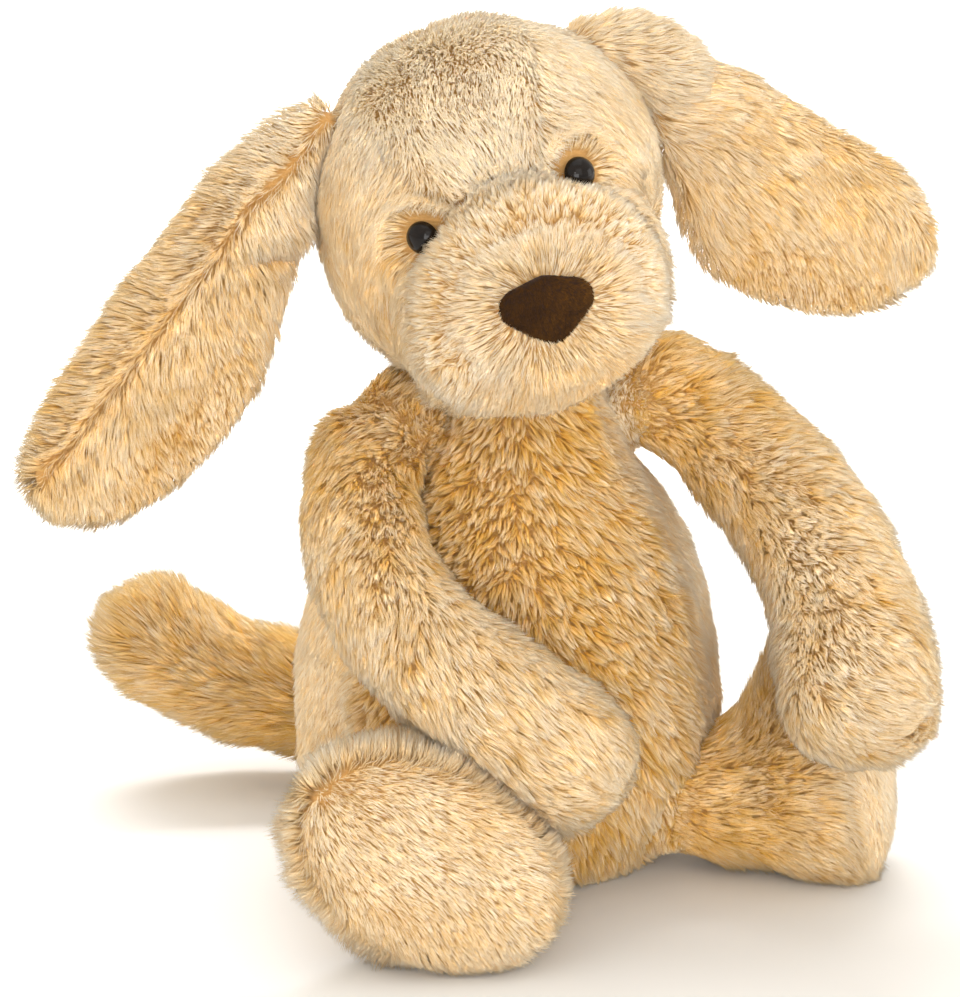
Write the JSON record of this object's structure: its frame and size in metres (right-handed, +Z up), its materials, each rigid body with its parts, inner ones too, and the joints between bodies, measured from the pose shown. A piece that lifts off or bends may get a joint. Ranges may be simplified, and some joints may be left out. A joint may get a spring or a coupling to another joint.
{
  "type": "plush dog",
  "caption": "Seated plush puppy with long floppy ears, stuffed limbs and tail on hinged seams, bead eyes and a suede-like nose.",
  "frame": {"origin": "centre of the flat seat that the dog rests on", "axes": "+Z up, the dog faces -Y, its left side is +X"},
  "size_m": [0.2386, 0.1858, 0.2188],
  "materials": {
    "plush": "matte",
    "fibrefill": "matte",
    "pouch_cloth": "matte",
    "nose_suede": "matte",
    "eye_bead": "gloss",
    "washer_plastic": "satin",
    "seam_thread": "matte"
  },
  "bodies": {
    "torso": {"belly_panel": "plush", "left_side_panel": "plush", "right_side_panel": "plush", "seat_panel": "plush", "torso_stuffing": "fibrefill", "seat_bean_pouch": "pouch_cloth", "left_hip_thread": "seam_thread", "right_hip_thread": "seam_thread"},
    "neck_ring": {"neck_seam_thread": "seam_thread"},
    "head": {"forehead_gusset": "plush", "left_cheek_panel": "plush", "right_cheek_panel": "plush", "left_back_head_panel": "plush", "right_back_head_panel": "plush", "muzzle_panel": "plush", "chin_panel": "plush", "head_stuffing": "fibrefill", "nose_patch": "nose_suede", "left_eye": "eye_bead", "right_eye": "eye_bead", "eye_washers": "washer_plastic"},
    "left_ear": {"left_ear_front": "plush", "left_ear_back": "plush"},
    "right_ear": {"right_ear_front": "plush", "right_ear_back": "plush"},
    "left_shoulder_ring": {"left_shoulder_thread": "seam_thread"},
    "left_arm": {"left_arm_outer": "plush", "left_arm_inner": "plush", "left_arm_stuffing": "fibrefill"},
    "right_shoulder_ring": {"right_shoulder_thread": "seam_thread"},
    "right_arm": {"right_arm_outer": "plush", "right_arm_inner": "plush", "right_arm_stuffing": "fibrefill"},
    "left_leg": {"left_leg_outer": "plush", "left_leg_inner": "plush", "left_sole": "plush", "left_leg_stuffing": "fibrefill", "left_foot_beans": "pouch_cloth"},
    "right_leg": {"right_leg_outer": "plush", "right_leg_inner": "plush", "right_sole": "plush", "right_leg_stuffing": "fibrefill", "right_foot_beans": "pouch_cloth"},
    "tail_ring": {"tail_thread": "seam_thread"},
    "tail": {"tail_upper": "plush", "tail_lower": "plush", "tail_stuffing": "fibrefill"}
  },
  "joints": [
    {"name": "neck_turn", "type": "hinge", "parent": "torso", "child": "neck_ring", "pos_m": [0.002, 0, 0.117], "axis": [0, 0, 1], "range_deg": [-30, 30]},
    {"name": "neck_nod", "type": "hinge", "parent": "neck_ring", "child": "head", "pos_m": [0.002, 0, 0.117], "axis": [1, 0, 0], "range_deg": [-18, 4]},
    {"name": "left_ear_flap", "type": "hinge", "parent": "head", "child": "left_ear", "pos_m": [0.037, 0.0045, 0.193], "axis": [-0.3689, -0.1153, 0.9223], "range_deg": [-30, 30]},
    {"name": "right_ear_flap", "type": "hinge", "parent": "head", "child": "right_ear", "pos_m": [-0.05, -0.0055, 0.1845], "axis": [0.2221, 0.0833, 0.9715], "range_deg": [-30, 30]},
    {"name": "left_shoulder_swing", "type": "hinge", "parent": "torso", "child": "left_shoulder_ring", "pos_m": [0.0365, -0.002, 0.1185], "axis": [1, 0, 0], "range_deg": [-30, 0]},
    {"name": "left_shoulder_spread", "type": "hinge", "parent": "left_shoulder_ring", "child": "left_arm", "pos_m": [0.0365, -0.002, 0.1185], "axis": [0, 0, 1], "range_deg": [-5, 35]},
    {"name": "right_shoulder_swing", "type": "hinge", "parent": "torso", "child": "right_shoulder_ring", "pos_m": [-0.03, -0.004, 0.114], "axis": [1, 0, 0], "range_deg": [-30, 0]},
    {"name": "right_shoulder_spread", "type": "hinge", "parent": "right_shoulder_ring", "child": "right_arm", "pos_m": [-0.03, -0.004, 0.114], "axis": [0.8042, -0.134, 0.5791], "range_deg": [-32, 0]},
    {"name": "left_hip_splay", "type": "hinge", "parent": "torso", "child": "left_leg", "pos_m": [0.038, -0.021, 0.0203], "axis": [0, 0, 1], "range_deg": [-15, 9]},
    {"name": "right_hip_splay", "type": "hinge", "parent": "torso", "child": "right_leg", "pos_m": [-0.027, -0.039, 0.0203], "axis": [0, 0, 1], "range_deg": [-35, 0]},
    {"name": "tail_wag", "type": "hinge", "parent": "torso", "child": "tail_ring", "pos_m": [-0.007, 0.039, 0.018], "axis": [0, 0, 1], "range_deg": [-40, 5]},
    {"name": "tail_lift", "type": "hinge", "parent": "tail_ring", "child": "tail", "pos_m": [-0.007, 0.039, 0.018], "axis": [0.6, 0.8, 0], "range_deg": [-4, 18]}
  ]
}
